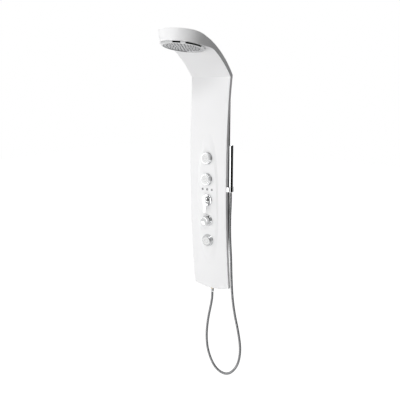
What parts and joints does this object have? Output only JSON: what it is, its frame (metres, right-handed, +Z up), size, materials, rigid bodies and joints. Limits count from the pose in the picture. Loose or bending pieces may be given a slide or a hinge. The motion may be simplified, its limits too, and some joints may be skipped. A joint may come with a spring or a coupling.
{
  "type": "shower panel column",
  "caption": "Wall-hung shower panel: a one-piece white shell from a tall panel over an arm into a round overhead shower, with body jets, a lever mixer, a diverter and a stick handset on a hose",
  "frame": {"origin": "the centre of the upper wall bracket's two screw holes, on the wall plane", "axes": "+X to the right of someone who faces the panel, +Y into the wall, +Z up; the arm and head reach out along -Y"},
  "size_m": [0.3308, 0.3834, 1.8746],
  "materials": {
    "shell_white": "gloss white moulded",
    "tray_grey": "matte",
    "plated_steel": "zinc plated",
    "brass_cast": "cast",
    "cartridge_plastic": "matte",
    "spindle_brass": "machined",
    "chrome": "polished",
    "steel_pin": "ground",
    "supply_tube": "satin",
    "fitting_plastic": "satin",
    "jet_white": "satin",
    "seal_rubber": "matte",
    "satin_disc": "satin",
    "spray_grey": "satin",
    "nozzle_dark": "matte",
    "hose_metal": "polished spiral"
  },
  "bodies": {
    "panel": {"arm_cover": "shell_white", "cartridge_nut": "brass_cast", "diverter_body": "brass_cast", "diverter_cartridge": "cartridge_plastic", "diverter_flange": "chrome", "diverter_locknut": "brass_cast", "front_shell": "shell_white", "handset_holder": "chrome", "hanger_screws": "plated_steel", "head_chamber": "fitting_plastic", "head_ring": "chrome", "head_riser": "supply_tube", "head_screws": "plated_steel", "head_seal": "seal_rubber", "holder_screws": "plated_steel", "hose": "hose_metal", "hose_outlet": "brass_cast", "hose_outlet_nut": "chrome", "hose_pipe": "supply_tube", "indicator_discs": "satin_disc", "jet_1_body": "fitting_plastic", "jet_1_ring": "chrome", "jet_2_body": "fitting_plastic", "jet_2_ring": "chrome", "jet_3_body": "fitting_plastic", "jet_3_ring": "chrome", "jet_gaskets": "seal_rubber", "jet_locknuts": "fitting_plastic", "jet_pipe": "supply_tube", "link_pipe": "supply_tube", "lower_hanger": "plated_steel", "lower_wall_bracket": "plated_steel", "mixer_body": "brass_cast", "mixer_cartridge": "cartridge_plastic", "mixer_flange": "chrome", "mixer_locknut": "brass_cast", "rear_tray": "tray_grey", "spray_plate": "spray_grey", "upper_hanger": "plated_steel", "upper_wall_bracket": "plated_steel"},
    "jet_1_turret": {"jet_1_collar": "chrome"},
    "jet_1_ball": {"jet_1_head": "chrome", "jet_1_face": "jet_white"},
    "jet_2_turret": {"jet_2_collar": "chrome"},
    "jet_2_ball": {"jet_2_head": "chrome", "jet_2_face": "jet_white"},
    "jet_3_turret": {"jet_3_collar": "chrome"},
    "jet_3_ball": {"jet_3_head": "chrome", "jet_3_face": "jet_white"},
    "mixer_turret": {"mixer_dome": "chrome", "mixer_spindle": "spindle_brass", "lever_pin": "steel_pin"},
    "mixer_handle": {"mixer_lever": "chrome"},
    "diverter_control": {"diverter_knob": "chrome", "diverter_spindle": "spindle_brass"},
    "hose_end": {"hose_cone_nut": "chrome"},
    "handset": {"handset_tube": "chrome", "handset_spray": "nozzle_dark", "handset_cap": "chrome"}
  },
  "joints": [
    {"name": "jet_1_turn", "type": "hinge", "parent": "panel", "child": "jet_1_turret", "pos_m": [0, -0.06338, -0.323], "axis": [0, -0.9998, 0.0181], "continuous": true},
    {"name": "jet_1_tilt", "type": "hinge", "parent": "jet_1_turret", "child": "jet_1_ball", "pos_m": [0, -0.07338, -0.32282], "axis": [1, 0, 0], "range_deg": [-10, 10]},
    {"name": "jet_2_turn", "type": "hinge", "parent": "panel", "child": "jet_2_turret", "pos_m": [0, -0.06421, -0.436], "axis": [0, -1, -0.0035], "continuous": true},
    {"name": "jet_2_tilt", "type": "hinge", "parent": "jet_2_turret", "child": "jet_2_ball", "pos_m": [0, -0.07421, -0.43604], "axis": [1, 0, 0], "range_deg": [-10, 10]},
    {"name": "jet_3_turn", "type": "hinge", "parent": "panel", "child": "jet_3_turret", "pos_m": [0, -0.05222, -0.772], "axis": [0, -0.9977, -0.0678], "continuous": true},
    {"name": "jet_3_tilt", "type": "hinge", "parent": "jet_3_turret", "child": "jet_3_ball", "pos_m": [0, -0.0622, -0.77268], "axis": [1, 0, 0], "range_deg": [-10, 10]},
    {"name": "mixer_temperature", "type": "hinge", "parent": "panel", "child": "mixer_turret", "pos_m": [0, -0.06262, -0.548], "axis": [0, -0.9997, -0.0249], "range_deg": [-45, 45]},
    {"name": "mixer_flow", "type": "hinge", "parent": "mixer_turret", "child": "mixer_handle", "pos_m": [0, -0.06662, -0.5481], "axis": [-1, 0, 0], "range_deg": [0, 24]},
    {"name": "diverter_turn", "type": "hinge", "parent": "panel", "child": "diverter_control", "pos_m": [0, -0.05862, -0.66], "axis": [0, -0.9989, -0.0464], "range_deg": [-60, 60]},
    {"name": "handset_lift", "type": "slide", "parent": "panel", "child": "hose_end", "axis": [0, 0, 1], "range_m": [0, 0.06]},
    {"name": "handset_spin", "type": "hinge", "parent": "hose_end", "child": "handset", "pos_m": [0.133, -0.034, -0.467], "axis": [0, 0, 1], "continuous": true}
  ]
}
